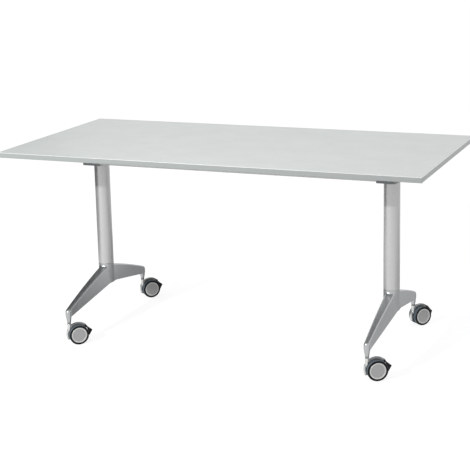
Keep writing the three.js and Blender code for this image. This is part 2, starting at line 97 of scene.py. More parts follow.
# Melamine faced board, pressed against an embossed plate: flat light grey, faintly clouded in the print,
# with a fine pearl that keeps its gloss soft
laminateLook = {
    "light": "#d8dcdb", "dark": "#d2d6d5", "cloud": 90 * mm,
    "pearl": 2.4 * mm,  # really about 0.6 mm, drawn coarser so that it shows
    "pearlDepth": 0.03 * mm, "roughness": (0.42, 0.52),
}


def melamineLaminate(look):
    made, tree = newSurface("melamineLaminate")
    spot = addNode(tree, "ShaderNodeTexCoord", out="Object")
    cloud = addNode(tree, "ShaderNodeTexNoise", {"Vector": spot, "Scale": 1 / look["cloud"], "Detail": 4})
    pearl = addNode(tree, "ShaderNodeTexNoise", {"Vector": spot, "Scale": 1 / look["pearl"], "Detail": 1})
    mottle = addNode(tree, "ShaderNodeMath", {0: cloud, 1: pearl}, operation="ADD")
    share = addNode(tree, "ShaderNodeMapRange", {"Value": mottle, "From Min": 0.75, "From Max": 1.25})
    tone = addNode(tree, "ShaderNodeMix", {
        0: share, 6: linear(look["dark"]), 7: linear(look["light"])}, out=2, data_type="RGBA")
    gloss = addNode(tree, "ShaderNodeMapRange", {
        "Value": pearl, "To Min": look["roughness"][0], "To Max": look["roughness"][1]})
    emboss = addNode(tree, "ShaderNodeBump", {
        "Height": pearl, "Distance": look["pearlDepth"], "Strength": 0.6})
    shader = addNode(tree, "ShaderNodeBsdfPrincipled", {
        "Base Color": tone, "Roughness": gloss, "Normal": emboss, "IOR": 1.5})
    addNode(tree, "ShaderNodeOutputMaterial", {"Surface": shader})
    return made


# ABS edge band, extruded and milled flush: the board's grey darkened, partly as painted shade of its upright
# faces, with faint draw lines along its length, a satin face, and a painted highlight: a pale line on the
# upward facing round of its upper edge
edgeBandLook = {
    # This grey is darker than the board's partly as painted shade, since upright faces get less light than
    # the top
    "light": "#a7acab", "dark": "#9ea3a2", "paintedEdgeHighlight": "#eef0ef", "line": 0.9 * mm, "lineLength": 120 * mm,
    "lineDepth": 0.015 * mm, "roughness": (0.26, 0.34),
}


def absEdgeBand(look):
    made, tree = newSurface("absEdgeBand")
    spot = addNode(tree, "ShaderNodeTexCoord", out="Object")
    stretch = look["line"] / look["lineLength"]
    along = addNode(tree, "ShaderNodeMapping", {"Vector": spot, "Scale": (stretch, stretch, 1)})
    lines = addNode(tree, "ShaderNodeTexNoise", {"Vector": along, "Scale": 1 / look["line"], "Detail": 2})
    share = addNode(tree, "ShaderNodeMapRange", {"Value": lines, "From Min": 0.3, "From Max": 0.7})
    tone = addNode(tree, "ShaderNodeMix", {
        0: share, 6: linear(look["dark"]), 7: linear(look["light"])}, out=2, data_type="RGBA")
    gloss = addNode(tree, "ShaderNodeMapRange", {
        "Value": lines, "To Min": look["roughness"][0], "To Max": look["roughness"][1]})
    # Painted highlight: where the band's round faces upward, its colour turns pale
    facing = addNode(tree, "ShaderNodeTexCoord", out="Normal")
    upward = addNode(tree, "ShaderNodeSeparateXYZ", {"Vector": facing}, out="Z")
    highlightShare = addNode(tree, "ShaderNodeMapRange", {"Value": upward, "From Min": 0.2, "From Max": 0.5})
    tone = addNode(tree, "ShaderNodeMix", {
        0: highlightShare, 6: tone, 7: linear(look["paintedEdgeHighlight"])}, out=2, data_type="RGBA")
    drawn = addNode(tree, "ShaderNodeBump", {
        "Height": lines, "Distance": look["lineDepth"], "Strength": 0.5})
    shader = addNode(tree, "ShaderNodeBsdfPrincipled", {
        "Base Color": tone, "Roughness": gloss, "Normal": drawn, "IOR": 1.53})
    addNode(tree, "ShaderNodeOutputMaterial", {"Surface": shader})
    return made


# Silver powder coat on steel tube: aluminium flakes in a satin film, so the grey turns over the round
# with a soft highlight, and the film has a fine orange peel
silverCoatLook = {
    "light": "#cacbca", "dark": "#c0c1c0",
    "flake": 1.6 * mm,  # really about 0.1 mm, drawn coarser so that it shows
    "peel": 3 * mm, "peelDepth": 0.03 * mm, "metallic": 0.5, "roughness": (0.28, 0.36),
}


def silverPowderCoat(look):
    made, tree = newSurface("silverPowderCoat")
    spot = addNode(tree, "ShaderNodeTexCoord", out="Object")
    flakes = addNode(tree, "ShaderNodeTexVoronoi", {"Vector": spot, "Scale": 1 / look["flake"]}, out="Color")
    bright = addNode(tree, "ShaderNodeSeparateColor", {"Color": flakes})
    tone = addNode(tree, "ShaderNodeMix", {
        0: bright, 6: linear(look["dark"]), 7: linear(look["light"])}, out=2, data_type="RGBA")
    peel = addNode(tree, "ShaderNodeTexNoise", {"Vector": spot, "Scale": 1 / look["peel"], "Detail": 2})
    gloss = addNode(tree, "ShaderNodeMapRange", {
        "Value": peel, "To Min": look["roughness"][0], "To Max": look["roughness"][1]})
    film = addNode(tree, "ShaderNodeBump", {
        "Height": peel, "Distance": look["peelDepth"], "Strength": 0.5})
    shader = addNode(tree, "ShaderNodeBsdfPrincipled", {
        "Base Color": tone, "Metallic": look["metallic"], "Roughness": gloss, "Normal": film})
    addNode(tree, "ShaderNodeOutputMaterial", {"Surface": shader})
    return made


# Die cast aluminium, ground and shot blasted, then lacquered: a darker grey than the columns,
# slow waves from the grinding and a fine grain from the blasting
castingLook = {
    "light": "#bcbebf", "dark": "#b0b2b3", "wave": 35 * mm, "waveDepth": 0.25 * mm,
    "grain": 1.1 * mm,  # really about 0.2 mm, drawn coarser so that it shows
    "grainDepth": 0.03 * mm, "metallic": 0.9, "roughness": (0.27, 0.37),
}


def castAluminium(look):
    made, tree = newSurface("castAluminium")
    spot = addNode(tree, "ShaderNodeTexCoord", out="Object")
    wave = addNode(tree, "ShaderNodeTexNoise", {"Vector": spot, "Scale": 1 / look["wave"], "Detail": 1})
    grain = addNode(tree, "ShaderNodeTexNoise", {"Vector": spot, "Scale": 1 / look["grain"], "Detail": 3})
    share = addNode(tree, "ShaderNodeMapRange", {"Value": grain, "From Min": 0.35, "From Max": 0.65})
    tone = addNode(tree, "ShaderNodeMix", {
        0: share, 6: linear(look["dark"]), 7: linear(look["light"])}, out=2, data_type="RGBA")
    gloss = addNode(tree, "ShaderNodeMapRange", {
        "Value": wave, "To Min": look["roughness"][0], "To Max": look["roughness"][1]})
    ground = addNode(tree, "ShaderNodeBump", {
        "Height": wave, "Distance": look["waveDepth"], "Strength": 0.4})
    blasted = addNode(tree, "ShaderNodeBump", {
        "Height": grain, "Distance": look["grainDepth"], "Strength": 0.5, "Normal": ground})
    shader = addNode(tree, "ShaderNodeBsdfPrincipled", {
        "Base Color": tone, "Metallic": look["metallic"], "Roughness": gloss, "Normal": blasted})
    addNode(tree, "ShaderNodeOutputMaterial", {"Surface": shader})
    return made


# Bright zinc plate on drawn steel: bluish metal in faint blotches, rougher where the bath was uneven
zincLook = {"light": "#c3c6ca", "dark": "#a9adb0", "blotch": 7 * mm, "roughness": (0.24, 0.42)}


def zincPlate(look):
    made, tree = newSurface("zincPlate")
    spot = addNode(tree, "ShaderNodeTexCoord", out="Object")
    bath = addNode(tree, "ShaderNodeTexNoise", {"Vector": spot, "Scale": 1 / look["blotch"], "Detail": 5})
    share = addNode(tree, "ShaderNodeMapRange", {"Value": bath, "From Min": 0.3, "From Max": 0.7})
    tone = addNode(tree, "ShaderNodeMix", {
        0: share, 6: linear(look["dark"]), 7: linear(look["light"])}, out=2, data_type="RGBA")
    gloss = addNode(tree, "ShaderNodeMapRange", {
        "Value": bath, "To Min": look["roughness"][1], "To Max": look["roughness"][0]})
    shader = addNode(tree, "ShaderNodeBsdfPrincipled", {
        "Base Color": tone, "Metallic": 1.0, "Roughness": gloss})
    addNode(tree, "ShaderNodeOutputMaterial", {"Surface": shader})
    return made


# Mid grey powder coat on folded sheet: matt, with the orange peel of a thick film
greyCoatLook = {
    "light": "#8e9193", "dark": "#828587", "peel": 2.6 * mm, "peelDepth": 0.06 * mm,
    "roughness": (0.44, 0.58), "shine": 0.4,
}
# Black nylon, moulded in a spark eroded tool: near black, with an even fine grain that dulls it
blackNylonLook = {
    "light": "#16181a", "dark": "#0c0d0f", "peel": 0.9 * mm, "peelDepth": 0.04 * mm,
    "roughness": (0.4, 0.56), "shine": 0.14,
}
# Black polyamide of the wheel centres, moulded smoother than the grips, so its rim shows a thin gloss
wheelNylonLook = {
    "light": "#121518", "dark": "#0a0c0e", "peel": 1.4 * mm, "peelDepth": 0.02 * mm,
    "roughness": (0.3, 0.42), "shine": 0.14,
}
# Polyurethane tread, cast on the wheel: soft slate grey, matt, a little mottled by the floor
treadLook = {
    "light": "#5f6a72", "dark": "#4d575e", "peel": 3.5 * mm, "peelDepth": 0.05 * mm,
    "roughness": (0.5, 0.68), "shine": 0.3,
}


# A dyed or sprayed film whose fine relief and tone come from one grain
def grainedFilm(name, look):
    made, tree = newSurface(name)
    spot = addNode(tree, "ShaderNodeTexCoord", out="Object")
    grain = addNode(tree, "ShaderNodeTexNoise", {"Vector": spot, "Scale": 1 / look["peel"], "Detail": 3})
    share = addNode(tree, "ShaderNodeMapRange", {"Value": grain, "From Min": 0.3, "From Max": 0.7})
    tone = addNode(tree, "ShaderNodeMix", {
        0: share, 6: linear(look["dark"]), 7: linear(look["light"])}, out=2, data_type="RGBA")
    gloss = addNode(tree, "ShaderNodeMapRange", {
        "Value": grain, "To Min": look["roughness"][0], "To Max": look["roughness"][1]})
    film = addNode(tree, "ShaderNodeBump", {
        "Height": grain, "Distance": look["peelDepth"], "Strength": 0.6})
    shader = addNode(tree, "ShaderNodeBsdfPrincipled", {
        "Base Color": tone, "Roughness": gloss, "Normal": film, "IOR": 1.5,
        "Specular IOR Level": look["shine"]})
    addNode(tree, "ShaderNodeOutputMaterial", {"Surface": shader})
    return made


# Grey lacquer on the die cast castor hoods: silver grey darkened to mid grey as painted shade from the arm
# above, smooth and half bright
paintedShadeHoodGreyLook = {
    "light": "#8f9091", "dark": "#838485", "grain": 1.2 * mm, "metallic": 0.7, "roughness": (0.26, 0.36),
}
# Turned neck of the castor: pale silver, partly a painted highlight standing in for the sharp light it takes
paintedHighlightNeckSilverLook = {
    "light": "#dededd", "dark": "#d2d2d1", "grain": 1.0 * mm, "metallic": 0.8, "roughness": (0.2, 0.3),
}
# Silver ABS of the wheel rims, moulded and lacquered: pale ring, satin
rimSilverLook = {
    "light": "#d6d6d4", "dark": "#cbcbc9", "grain": 1.0 * mm, "metallic": 0.3, "roughness": (0.32, 0.4),
}
# Grey ABS of the wheel caps, moulded with a fine texture and lacquered: mid grey, a little metallic
capGreyLook = {
    "light": "#b0b0b0", "dark": "#a4a4a4", "grain": 0.9 * mm, "metallic": 0.3, "roughness": (0.38, 0.48),
}


# A metallic lacquer: pigment that varies with a fine grain, under a smooth film
def metallicLacquer(name, look):
    made, tree = newSurface(name)
    spot = addNode(tree, "ShaderNodeTexCoord", out="Object")
    grain = addNode(tree, "ShaderNodeTexNoise", {"Vector": spot, "Scale": 1 / look["grain"], "Detail": 2})
    share = addNode(tree, "ShaderNodeMapRange", {"Value": grain, "From Min": 0.3, "From Max": 0.7})
    tone = addNode(tree, "ShaderNodeMix", {
        0: share, 6: linear(look["dark"]), 7: linear(look["light"])}, out=2, data_type="RGBA")
    gloss = addNode(tree, "ShaderNodeMapRange", {
        "Value": grain, "To Min": look["roughness"][0], "To Max": look["roughness"][1]})
    shader = addNode(tree, "ShaderNodeBsdfPrincipled", {
        "Base Color": tone, "Metallic": look["metallic"], "Roughness": gloss})
    addNode(tree, "ShaderNodeOutputMaterial", {"Surface": shader})
    return made


laminate = melamineLaminate(laminateLook)
edgeBand = absEdgeBand(edgeBandLook)
silverCoat = silverPowderCoat(silverCoatLook)
casting = castAluminium(castingLook)
zinc = zincPlate(zincLook)
greyCoat = grainedFilm("greyPowderCoat", greyCoatLook)
blackNylon = grainedFilm("blackNylon", blackNylonLook)
wheelNylon = grainedFilm("wheelNylon", wheelNylonLook)
tread = grainedFilm("polyurethaneTread", treadLook)
paintedShadeHoodGrey = metallicLacquer("greyLacquerPaintedShade", paintedShadeHoodGreyLook)
paintedHighlightNeckSilver = metallicLacquer("brightSilverPaintedHighlight", paintedHighlightNeckSilverLook)
rimSilver = metallicLacquer("silverAbs", rimSilverLook)
capGrey = metallicLacquer("greyAbs", capGreyLook)
print("materials made:", len(bpy.data.materials))


# Numbers from start to end in even steps
def evenly(start, end, steps):
    return [start + (end - start) * step / steps for step in range(steps + 1)]


# A solid is a list of corners and a list of faces. This one is turned about Z from (radius, height) pairs
# that start and end on the axis, or else close on themselves
def turnedSolid(profile, steps=72):
    corners, rings = [], []
    for radius, height in profile:
        count = steps if radius > 0 else 1
        rings.append(range(len(corners), len(corners) + count))
        for step in range(count):
            turn = 2 * math.pi * step / steps
            corners.append(Vector((radius * math.cos(turn), radius * math.sin(turn), height)))
    pairs = list(zip(rings, rings[1:]))
    if profile[0][0] > 0:
        pairs.append((rings[-1], rings[0]))
    faces = []
    for low, high in pairs:
        for step in range(steps):
            after = (step + 1) % steps
            face = [ring[turn % len(ring)] for ring, turn in (
                (low, step), (low, after), (high, after), (high, step))]
            faces.append(list(dict.fromkeys(face)))
    return corners, faces


# A solid through rings of corners, closed at both ends
def loftedSolid(rings):
    count = len(rings[0])
    corners = [Vector(corner) for ring in rings for corner in ring]
    faces = []
    for start in range(0, len(corners) - count, count):
        for step in range(count):
            after = (step + 1) % count
            faces.append([start + step, start + after, start + count + after, start + count + step])
    faces.append(list(range(count))[::-1])
    faces.append(list(range(len(corners) - count, len(corners))))
    return corners, faces


def boxSolid(low, high):
    square = [(low[0], low[1]), (high[0], low[1]), (high[0], high[1]), (low[0], high[1])]
    return loftedSolid([[(x, y, z) for x, y in square] for z in (low[2], high[2])])


# An outline in the XZ plane made thick along Y
def plateSolid(outline, half):
    return loftedSolid([[(x, y, z) for x, z in outline] for y in (half, -half)])


def moved(solid, matrix):
    return [matrix @ corner for corner in solid[0]], solid[1]


def together(solids):
    corners, faces = [], []
    for more, shown in solids:
        faces += [[index + len(corners) for index in face] for face in shown]
        corners += more
    return corners, faces


def toMesh(solid, name):
    work = bmesh.new()
    points = [work.verts.new(corner) for corner in solid[0]]
    for face in solid[1]:
        work.faces.new([points[index] for index in face])
    bmesh.ops.recalc_face_normals(work, faces=work.faces)
    mesh = bpy.data.meshes.new(name)
    work.to_mesh(mesh)
    work.free()
    return mesh


def toSolid(mesh):
    return [v.co.copy() for v in mesh.vertices], [list(p.vertices) for p in mesh.polygons]


# Rounds the hard edges, or only those whose ends pass a test
def softened(solid, width, steps=3, test=None):
    work = bmesh.new()
    work.from_mesh(toMesh(solid, "soft"))
    edges = [e for e in work.edges if e.calc_face_angle(0) > math.radians(hardTurn)]
    if test:
        edges = [e for e in edges if all(test(v.co) for v in e.verts)]
    bmesh.ops.bevel(work, geom=edges, offset=width, segments=steps, profile=0.5, affect="EDGES",
                    clamp_overlap=True)
    mesh = bpy.data.meshes.new("soft")
    work.to_mesh(mesh)
    work.free()
    return toSolid(mesh)


# Joins or cuts solids into one closed shell
def combined(first, others, operation):
    target = bpy.data.objects.new("target", toMesh(first, "target"))
    bpy.context.scene.collection.objects.link(target)
    tools = []
    for other in others:
        tool = bpy.data.objects.new("tool", toMesh(other, "tool"))
        bpy.context.scene.collection.objects.link(tool)
        change = target.modifiers.new("change", "BOOLEAN")
        change.operation, change.solver, change.object = operation, "EXACT", tool
        tools.append(tool)
    mesh = bpy.data.meshes.new_from_object(target.evaluated_get(bpy.context.evaluated_depsgraph_get()))
    for made in [target, *tools]:
        bpy.data.objects.remove(made)
    work = bmesh.new()
    work.from_mesh(mesh)
    bmesh.ops.remove_doubles(work, verts=work.verts, dist=weldGap)  # slivers left along the cuts
    bmesh.ops.dissolve_degenerate(work, edges=work.edges, dist=weldGap)
    work.to_mesh(mesh)
    work.free()
    return toSolid(mesh)


def addPiece(name, solid, body, material, stands=(), crease=35):
    mesh = toMesh(solid, name)
    mesh.shade_smooth()
    mesh.set_sharp_from_angle(angle=math.radians(crease))
    mesh.materials.append(material)
    piece = bpy.data.objects.new(name, mesh)
    bpy.context.scene.collection.objects.link(piece)
    piece.modifiers.new("flats", "WEIGHTED_NORMAL").keep_sharp = True  # faces stay flat up to their rounds
    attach(piece, body)
    if stands:
        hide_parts(*stands)
    return piece


# Camera: where the photograph was taken from, with the lens shifted down a little to hold the uprights
cameraLook = {
    "place": (1.7942, -4.3686, 1.6173), "yaw": 22.54, "tilt": 12.364, "roll": -1.295,
    "lens": 98.37, "sensor": 36, "shiftY": -0.1,
}


def placeCamera(look):
    yaw, tilt, roll = (math.radians(look[name]) for name in ("yaw", "tilt", "roll"))
    lens = bpy.data.cameras.new("camera")
    lens.lens, lens.shift_y, lens.sensor_width = look["lens"], look["shiftY"], look["sensor"]
    camera = bpy.data.objects.new("camera", lens)
    bpy.context.scene.collection.objects.link(camera)
    turn = Matrix.Rotation(yaw, 4, "Z") @ Matrix.Rotation(math.pi / 2 - tilt, 4, "X")
    camera.matrix_world = Matrix.Translation(look["place"]) @ turn @ Matrix.Rotation(roll, 4, "Z")
    bpy.context.scene.camera = camera


placeCamera(cameraLook)

# Studio: white sweep and world, a small key lamp near the table at the front left, the sky of the room as
# fill, and glowing grey cards at the left, on the floor and behind, which only reflections show: painted
# reflections that darken the metal's edges and faces
studioLook = {
    "sky": 0.71, "floorSize": 60.0, "floorBounce": "#b4b4b4", "floorGlow": 0.84, "floorShare": 0.25,
    "key": (-1.5, -3.5, 2.17), "keySize": 0.08, "keyPower": 100.0,
    "cards": {  # brightness and corners of each
        "left": (0.03, ((-1.5, -0.9, 0), (-1.5, 0.6, 0), (-1.5, 2.2, 2.8), (-1.5, -0.9, 2.8))),
        "floorLeft": (0.3, ((-0.45, -0.32, mm), (0.25, -0.32, mm), (0.25, 0.46, mm), (-0.45, 0.46, mm))),
        "riseLeft": (0.38, ((-2, 0.46, mm), (0.25, 0.46, mm), (0.25, 1, 0.125), (-2, 1, 0.125))),
        "floorRight": (0.6, ((0.72, -0.32, mm), (2, -0.32, mm), (2, 0.46, mm), (0.72, 0.46, mm))),
        "riseRight": (0.58, ((0.25, 0.46, mm), (2, 0.46, mm), (2, 0.9, 0.11), (0.25, 0.9, 0.11))),
    },
}


# White to the eye and in reflections, plain light or a grey bounce to everything else
def whiteToEye(tree, seen, lit):
    path = addNode(tree, "ShaderNodeLightPath").node.outputs
    eye = addNode(tree, "ShaderNodeMath", {
        0: path["Is Camera Ray"], 1: path["Is Glossy Ray"]}, operation="MAXIMUM")
    eye = addNode(tree, "ShaderNodeMath", {0: eye, 1: path["Is Transmission Ray"]}, operation="MAXIMUM")
    return addNode(tree, "ShaderNodeMixShader", {0: eye, 1: lit, 2: seen})


def addSheet(name, corners, material):
    mesh = bpy.data.meshes.new(name)
    mesh.from_pydata(corners, [], [(0, 1, 2, 3)])
    mesh.materials.append(material)
    sheet = bpy.data.objects.new(name, mesh)
    bpy.context.scene.collection.objects.link(sheet)
    return sheet


def buildStudio(look):
    scene = bpy.context.scene
    scene.view_settings.view_transform = "Standard"
    scene.world = bpy.data.worlds.new("studioSky")
    scene.world.use_nodes = True
    tree = scene.world.node_tree
    tree.nodes.clear()
    seen = addNode(tree, "ShaderNodeBackground", {"Color": linear("#ffffff"), "Strength": 1.0})
    lit = addNode(tree, "ShaderNodeBackground", {"Color": linear("#ffffff"), "Strength": look["sky"]})
    addNode(tree, "ShaderNodeOutputWorld", {"Surface": whiteToEye(tree, seen, lit)})

    made, tree = newSurface("whiteSweep")
    glow = addNode(tree, "ShaderNodeEmission", {"Strength": look["floorGlow"]})
    paint = addNode(tree, "ShaderNodeBsdfDiffuse", {"Color": linear("#ffffff")})
    faint = addNode(tree, "ShaderNodeMixShader", {0: look["floorShare"], 2: paint})
    seen = addNode(tree, "ShaderNodeAddShader", {0: glow, 1: faint})
    bounce = addNode(tree, "ShaderNodeBsdfDiffuse", {"Color": linear(look["floorBounce"])})
    addNode(tree, "ShaderNodeOutputMaterial", {"Surface": whiteToEye(tree, seen, bounce)})
    half = look["floorSize"] / 2
    addSheet("floor", [(-half, -half, 0), (half, -half, 0), (half, half, 0), (-half, half, 0)], made)

    for name, (level, corners) in look["cards"].items():
        made, tree = newSurface(name + "PaintedReflection")
        # Each card glows at its level: a painted reflection, seen by glossy rays only
        reflectedGlow = addNode(tree, "ShaderNodeEmission", {"Strength": level})
        addNode(tree, "ShaderNodeOutputMaterial", {"Surface": reflectedGlow})
        card = addSheet(name + "PaintedReflection", corners, made)
        card.visible_camera = card.visible_diffuse = card.visible_shadow = card.visible_transmission = False

    lamp = bpy.data.lights.new("key", "AREA")
    lamp.size, lamp.energy = look["keySize"], look["keyPower"]
    key = bpy.data.objects.new("key", lamp)
    scene.collection.objects.link(key)
    back = Vector(look["key"]) - (cadLow + cadHigh) / 2
    key.matrix_world = Matrix.Translation(look["key"]) @ (-back).to_track_quat("-Z", "Y").to_matrix().to_4x4()


buildStudio(studioLook)
print("camera and studio placed")

# Table top: the board with broken edges, and bands that are rounded on the outside only
topLook = {"arris": 0.3 * mm, "arrisSteps": 2, "bandRound": 1.6 * mm, "bandSteps": 5}


def buildTop(look):
    board = softened(boxSolid(*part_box("top_panel")), look["arris"], look["arrisSteps"])
    addPiece("top_board", board, "top", laminate, ["top_panel"])
    outer = {"front": (1, 0), "back": (1, 1), "left": (0, 0), "right": (0, 1)}
    for edge, (axis, end) in outer.items():
        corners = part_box(edge + "_edge_band")
        face = corners[end][axis]
        band = softened(boxSolid(*corners), look["bandRound"], look["bandSteps"],
                        lambda corner: abs(corner[axis] - face) < weldGap)
        addPiece(edge + "_band", band, "top", edgeBand, [edge + "_edge_band"])


buildTop(topLook)
print("table top built")

# Columns: drawn tube with broken ends, cut through for the tube that the top turns on
columnLook = {"wall": 2.5 * mm, "arris": 0.6 * mm, "eye": 19.3 * mm, "steps": 96}


def buildColumns(look):
    axisHeight = joints["top_tilt"]["pos_m"][2]
    for side in sides:
        low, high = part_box(side + "_column")
        middle = (low + high) / 2
        outer = (high.x - low.x) / 2
        bore = outer - look["wall"]
        cut = look["arris"]
        tube = turnedSolid([
            (bore, low.z), (outer - cut, low.z), (outer, low.z + cut), (outer, high.z - cut),
            (outer - cut, high.z), (bore, high.z)], look["steps"])
        tube = moved(tube, Matrix.Translation((middle.x, middle.y, 0)))
        radius, reach = look["eye"], 2 * outer
        eye = turnedSolid([(0, -reach), (radius, -reach), (radius, reach), (0, reach)])
        turn = Matrix.Translation((middle.x, middle.y, axisHeight)) @ Matrix.Rotation(math.pi / 2, 4, "Y")
        tube = combined(tube, [moved(eye, turn)], "DIFFERENCE")
        addPiece(side + "_column_tube", tube, "base", silverCoat, [side + "_column"])


buildColumns(columnLook)

# Feet: arms of a four sided section with rounded ridges, which sweep up to the hub in a cove and run out
# over the sockets, a hub turned like the column, and a domed socket at each end
footLook = {
    "reach": 315 * mm, "armTop": (226 * mm, 139 * mm), "crown": 4 * mm, "armUnder": (160 * mm, 107 * mm),
    "topHalf": (16.5 * mm, 9.6 * mm), "underHalf": (29.4 * mm, 11 * mm), "tip": 11 * mm, "tipDrop": 6 * mm,
    "ridge": 6 * mm, "lowerEdge": 2.5 * mm, "cove": 9 * mm, "coveStart": 29.6 * mm, "edgeSteps": 4,
    "inHub": 8 * mm, "pastCove": 3 * mm, "coveSteps": 24,  # rings of the arm lie closer from here to here
    "armSteps": 20, "tipTurns": (15, 30, 42, 54, 64),  # degrees round the tip
    "acrossTop": 10, "offBeat": 0.7,  # degrees that keep the corners of round forms off those of the arms
    "column": 30 * mm, "hubFoot": 161 * mm, "hubTop": 240 * mm, "hubArris": 0.8 * mm,
    "boltSeat": (9 * mm, 155 * mm, 168 * mm),
    "mouth": (7.8 * mm, 88 * mm), "stemBore": (5.8 * mm, 80 * mm, 132 * mm), "socket": 11.8 * mm,
    "taperTop": 114 * mm, "domeFoot": 127.5 * mm, "domeTop": 138.5 * mm, "domeSteps": 10,
    "hubSteps": 96, "socketSteps": 48, "crease": 28,
}


# A corner of an outline turned into an arc
def arcCorner(before, corner, after, radius, steps):
    toBefore, toAfter = (before - corner).normalized(), (after - corner).normalized()
    half = toBefore.angle(toAfter) / 2
    centre = corner + (toBefore + toAfter).normalized() * (radius / math.sin(half))
    reach = radius / math.tan(half)
    first, last = corner + toBefore * reach - centre, corner + toAfter * reach - centre
    return [centre + first.lerp(last, step / steps).normalized() * radius for step in range(steps + 1)]


def quarterArc(centre, across, up, start, steps):
    turns = [start + math.pi / 2 * step / steps for step in range(steps + 1)]
    return [(centre[0] + across * math.cos(turn), centre[1] + up * math.sin(turn)) for turn in turns]


def armRing(look, along):
    share = max(0, (abs(along) - look["column"]) / (look["reach"] - look["column"]))
    top, under, topHalf, underHalf = (
        look[name][0] + (look[name][1] - look[name][0]) * share
        for name in ("armTop", "armUnder", "topHalf", "underHalf"))
    top += 4 * look["crown"] * share * (1 - share)
    past = max(0, abs(along) - look["reach"]) / look["tip"]
    narrow = math.sqrt(1 - past ** 2)
    top, topHalf, underHalf = top - look["tipDrop"] * (1 - narrow), topHalf * narrow, underHalf * narrow
    outline = [Vector(p) for p in ((-underHalf, under), (-topHalf, top), (topHalf, top), (underHalf, under))]
    radii = [look[name] * narrow for name in ("lowerEdge", "ridge", "ridge", "lowerEdge")]
    arcs = [arcCorner(outline[i - 1], outline[i], outline[(i + 1) % 4], radii[i], look["edgeSteps"])
            for i in range(4)]
    face = [arcs[1][-1].lerp(arcs[2][0], step / look["acrossTop"]) for step in range(1, look["acrossTop"])]
    upper = []
    for spot in arcs[1] + face + arcs[2]:
        away = max(0, math.hypot(spot.x, along) - look["coveStart"])
        cove = look["cove"]
        rise = cove - math.sqrt(cove ** 2 - (cove - away) ** 2) if away < cove else 0
        upper.append(Vector((spot.x, spot.y + rise)))
    return [(spot.x, along, spot.y) for spot in arcs[0] + upper + arcs[3]]


def footSolid(look):
    near, far = look["column"] - look["inHub"], look["column"] + look["cove"] + look["pastCove"]
    tip = [look["reach"] + look["tip"] * math.sin(math.radians(turn)) for turn in look["tipTurns"]]
    half = evenly(near, far, look["coveSteps"]) + evenly(far, look["reach"], look["armSteps"])[1:] + tip
    arms = loftedSolid([armRing(look, along) for along in [-a for a in reversed(half)] + [0] + half])
    out, low, high, cut = look["column"], look["hubFoot"], look["hubTop"], look["hubArris"]
    hub = turnedSolid([(0, low), (out, low), (out, high - cut), (out - cut, high), (0, high)],
                      look["hubSteps"])
    socket = turnedSolid([
        (0, look["mouth"][1]), look["mouth"], (look["socket"], look["taperTop"]),
        *quarterArc((0, look["domeFoot"]), look["socket"], look["domeTop"] - look["domeFoot"], 0,
                    look["domeSteps"])[:-1],
        (0, look["domeTop"])], look["socketSteps"])
    seat, bore = (turnedSolid([(0, low), (radius, low), (radius, high), (0, high)], look["socketSteps"])
                  for radius, low, high in (look["boltSeat"], look["stemBore"]))
    turn = Matrix.Rotation(math.radians(look["offBeat"]), 4, "Z")
    ends = [Matrix.Translation((0, along, 0)) for along in (-look["reach"], look["reach"])]
    foot = combined(arms, [moved(hub, turn), *[moved(socket, end @ turn) for end in ends]], "UNION")
    return combined(foot, [seat, *[moved(bore, end @ turn @ turn) for end in ends]], "DIFFERENCE")


def buildFeet(look):
    solid = footSolid(look)
    for side in sides:
        low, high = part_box(side + "_foot")
        middle = (low + high) / 2
        foot = moved(solid, Matrix.Translation((middle.x, middle.y, 0)))
        addPiece(side + "_foot_casting", foot, "base", casting, [side + "_foot"],
                 look["crease"])


buildFeet(footLook)
print("legs built")

# Castors: lengths in the castor's own frame, with the stem on Z and the axle trailing along X,
# and sweeps in degrees round the axle
castorLook = {
    "hoodHalf": 6 * mm, "hoodRadius": 45 * mm, "hoodSweep": (44, 204), "hoodEdge": 1.2 * mm,
    "waist": 20 * mm, "waistSweep": (240, 310), "heel": (30 * mm, 24),
    "neck": 7.5 * mm, "neckFoot": 46 * mm, "neckTop": 80 * mm, "neckRound": 2 * mm,
    "strap": (39.5 * mm, 45.4 * mm), "strapSweep": (128, 200), "strapHalf": 6.4 * mm,
    "wheelRoom": 39 * mm, "lug": 4 * mm, "pivot": (42 * mm, 46),
    "wheel": 37.5 * mm, "inner": 7 * mm, "outer": 24.2 * mm, "treadOuter": 22.4 * mm,
    "shoulder": (3 * mm, 1.1 * mm), "disc": (35 * mm, 36.6 * mm), "rimOuter": 29.6 * mm,
    "rimInner": 24.6 * mm, "rimRound": 1 * mm, "sink": 0.7 * mm, "seat": 1 * mm, "discStep": 0.5 * mm,
    "discLip": 0.4 * mm, "capCrown": 0.4 * mm, "capSteps": 8, "shoulderSteps": (8, 5), "rimSteps": 4,
    "wheelSteps": 96, "hoodSteps": 40, "strapSteps": 24, "neckSteps": 48, "lugSteps": 32, "softSteps": 5,
    "pedalGrip": 38.8 * mm, "pedalGripSweep": (50, -9), "pedalTravel": 3, "pedalBrow": (44.5 * mm, 51),
    "pedalBack": (45.2 * mm, 26), "pedalToe": (55.5 * mm, 10), "pedalFoot": (42.5 * mm, -10),
    "pedalHalf": 13 * mm, "pedalToeHalf": 4 * mm,
    "pedalShoulder": 39 * mm, "pedalSlot": (30 * mm, 60 * mm, 33, 62), "pedalPin": 1.6 * mm,
    "pedalEdge": 0.9 * mm, "pedalSpare": 5 * mm, "pinInside": 1 * mm, "gripSteps": 16, "pinSteps": 24,
    "edgeSteps": 3, "gap": 0.3 * mm,
}


def castorPlace(place):
    stem, axle = (Vector(joints[place + name]["pos_m"]) for name in ("_swivel", "_roll_1"))
    trail = (axle - stem).xy.normalized()
    rows = ((trail.x, -trail.y, 0, stem.x), (trail.y, trail.x, 0, stem.y), (0, 0, 1, 0), (0, 0, 0, 1))
    return Matrix(rows), (axle - stem).xy.length


